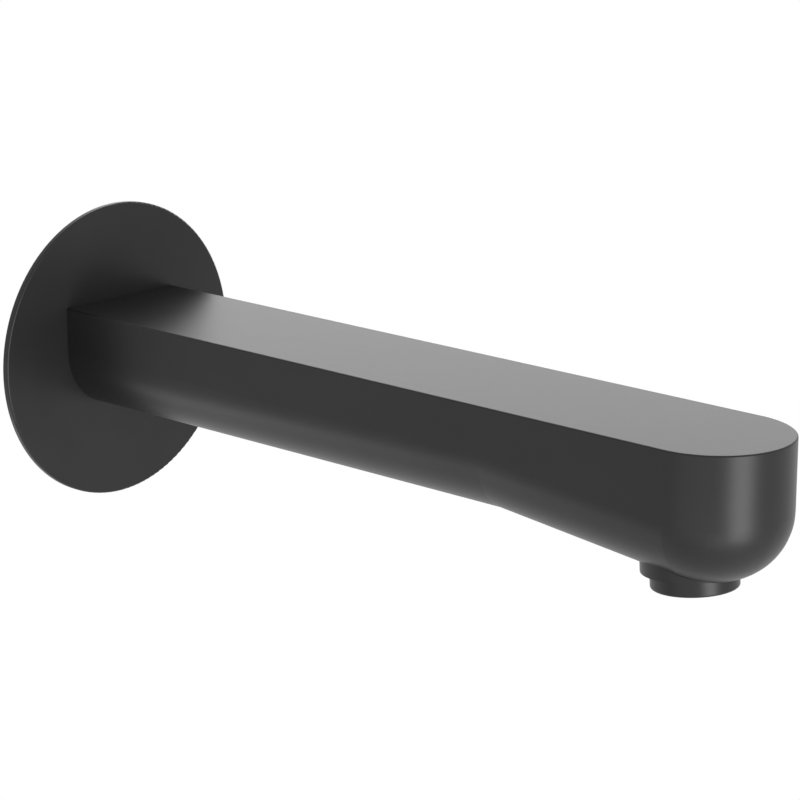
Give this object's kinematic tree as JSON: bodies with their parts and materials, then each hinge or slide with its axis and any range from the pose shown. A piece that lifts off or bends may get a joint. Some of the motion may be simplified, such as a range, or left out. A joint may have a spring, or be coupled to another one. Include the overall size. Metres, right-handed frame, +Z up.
{
  "type": "bath spout",
  "caption": "Wall-mounted bath spout: a flat-topped arm with a round nose on a round cover plate, pouring through an outlet ring under the nose.",
  "frame": {"origin": "on the wall face, at the centre of the cover plate and of the inlet", "axes": "+X across the arm, +Y into the wall along the inlet, +Z up; the arm runs along -Y"},
  "size_m": [0.076, 0.223, 0.076],
  "materials": {
    "black_coating": "satin black coating on metal",
    "foam": "matt closed-cell foam",
    "bare_brass": "turned, uncoated",
    "seal_rubber": "moulded, matt",
    "screw_steel": "plain stainless",
    "dark_plastic": "moulded, matt",
    "pale_plastic": "moulded, matt"
  },
  "bodies": {
    "root": {"spout_body": "black_coating", "cover_plate": "black_coating", "foam_ring": "foam", "wall_nipple": "bare_brass", "inner_o_ring": "seal_rubber", "outer_o_ring": "seal_rubber", "fixing_screw": "screw_steel", "outlet_ring": "black_coating", "outlet_washer": "seal_rubber", "strainer_cup": "dark_plastic", "jet_plate": "pale_plastic", "strainer_cap": "pale_plastic"}
  },
  "joints": []
}
